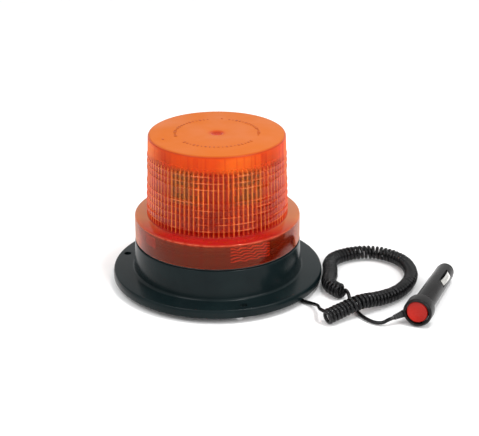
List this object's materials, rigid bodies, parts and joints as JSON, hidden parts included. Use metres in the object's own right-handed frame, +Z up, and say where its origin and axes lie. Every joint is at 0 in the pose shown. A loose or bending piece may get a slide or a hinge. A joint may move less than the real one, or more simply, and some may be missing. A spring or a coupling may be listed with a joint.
{
  "type": "magnetic led beacon",
  "caption": "Round magnetic warning beacon: amber ribbed lens on a black flanged base, with a curly cord to a socket plug with a red rocker switch.",
  "frame": {"origin": "centre of the beacon's underside, on the surface that it stands on", "axes": "+Z up along the beacon's axis; +X towards the side that the cord and plug lie on; the front, as pictured, faces -Y"},
  "size_m": [0.2119, 0.1365, 0.095],
  "materials": {
    "amber_plastic": "clear amber, ribbed inside",
    "black_abs": "satin moulded black",
    "zinc_steel": "zinc plated",
    "capacitor_sleeve": "dark blue sleeve",
    "black_rubber": "matt black",
    "cord_pvc": "black PVC",
    "green_board": "green solder mask",
    "chip_epoxy": "black epoxy",
    "spring_steel": "bare spring steel",
    "ferrite_core": "dark grey ferrite",
    "led_yellow": "yellow phosphor",
    "white_plastic": "moulded white",
    "red_panel": "deep red",
    "plug_plastic": "black moulded",
    "glass": "fuse glass",
    "ferrite": "sintered dark grey",
    "nickel": "nickel plated",
    "red_button": "clear red button",
    "terminal_green": "green terminal plastic",
    "orange_panel": "bright orange"
  },
  "bodies": {
    "base": {"base_housing": "black_abs", "board_screw_1": "zinc_steel", "board_screw_2": "zinc_steel", "board_screw_3": "zinc_steel", "capacitor_1": "capacitor_sleeve", "capacitor_2": "capacitor_sleeve", "cord_bush": "black_rubber", "cord_coil": "cord_pvc", "cord_grommet": "black_rubber", "cord_lead": "cord_pvc", "cord_tail": "cord_pvc", "driver_board": "green_board", "driver_chip": "chip_epoxy", "drum_screw": "zinc_steel", "fuse_spring": "spring_steel", "inductor": "ferrite_core", "inner_lead": "cord_pvc", "led_1a": "led_yellow", "led_1b": "led_yellow", "led_2a": "led_yellow", "led_2b": "led_yellow", "led_3a": "led_yellow", "led_3b": "led_yellow", "led_4a": "led_yellow", "led_4b": "led_yellow", "led_5a": "led_yellow", "led_5b": "led_yellow", "led_6a": "led_yellow", "led_6b": "led_yellow", "led_board_1": "green_board", "led_board_2": "green_board", "led_board_3": "green_board", "led_board_4": "green_board", "led_board_5": "green_board", "led_board_6": "green_board", "lens_gasket": "black_rubber", "light_column": "white_plastic", "light_drum": "white_plastic", "magnet_bolt": "zinc_steel", "magnet_cup": "zinc_steel", "magnet_pad": "black_rubber", "magnet_washer": "zinc_steel", "plain_panel": "red_panel", "plug_barrel": "plug_plastic", "plug_collar": "plug_plastic", "plug_nose": "plug_plastic", "reflector_tray": "red_panel", "ring_magnet": "ferrite", "switch_body": "plug_plastic", "terminal_block": "terminal_green", "warning_panel": "orange_panel"},
    "lens": {"amber_lens": "amber_plastic"},
    "switch": {"switch_rocker": "red_button"},
    "tip": {"tip_contact": "nickel", "plug_fuse": "glass"},
    "contact_right": {"side_contact_right": "nickel"},
    "contact_left": {"side_contact_left": "nickel"}
  },
  "joints": [
    {"name": "lens_twist", "type": "hinge", "parent": "base", "child": "lens", "pos_m": [0, 0, 0.03], "axis": [0, 0, 1], "range_deg": [0, 25]},
    {"name": "switch_rock", "type": "hinge", "parent": "base", "child": "switch", "pos_m": [0.118, -0.06352, 0.00871], "axis": [0.7394, -0.2741, 0.6149], "range_deg": [0, 12]},
    {"name": "tip_press", "type": "slide", "parent": "base", "child": "tip", "axis": [-0.3822, -0.9228, 0.0482], "range_m": [0, 0.0025], "stiffness_N_per_m": 900, "deforming": ["fuse_spring"]},
    {"name": "contact_right_press", "type": "slide", "parent": "base", "child": "contact_right", "axis": [-0.7394, 0.2741, -0.6149], "range_m": [0, 0.0008], "stiffness_N_per_m": 1500},
    {"name": "contact_left_press", "type": "slide", "parent": "base", "child": "contact_left", "axis": [0.7394, -0.2741, 0.6149], "range_m": [0, 0.0008], "stiffness_N_per_m": 1500}
  ]
}
